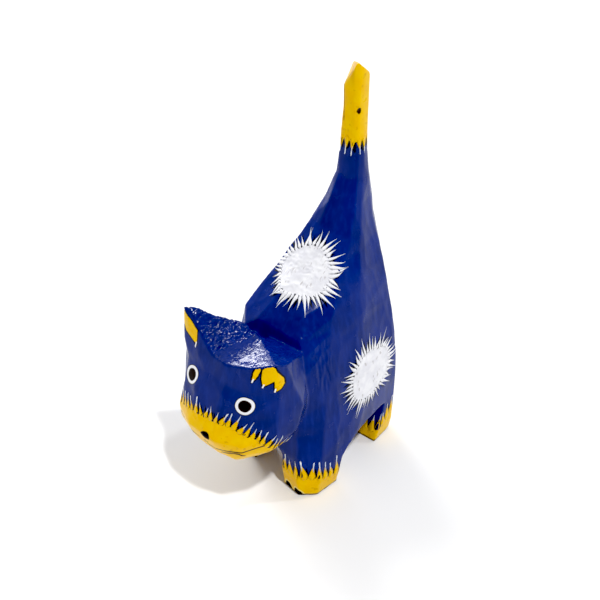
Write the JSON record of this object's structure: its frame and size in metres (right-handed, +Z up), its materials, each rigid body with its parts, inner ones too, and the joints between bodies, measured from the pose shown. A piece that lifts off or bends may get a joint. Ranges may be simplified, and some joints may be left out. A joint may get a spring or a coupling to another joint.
{
  "type": "wooden cat figurine",
  "caption": "Small hand-carved wooden cat ornament that stands on its own feet with its tail straight up, painted glossy blue with yellow paws, muzzle and tail tip and white patches.",
  "frame": {"origin": "centre of the bounding box's bottom face, on the plane the feet stand on", "axes": "+X to the cat's left side, +Y to its tail end, +Z up; the cat looks along -Y"},
  "size_m": [0.0462, 0.0854, 0.1513],
  "materials": {
    "painted_wood": "glossy paint"
  },
  "bodies": {
    "root": {"cat": "painted_wood"}
  },
  "joints": []
}
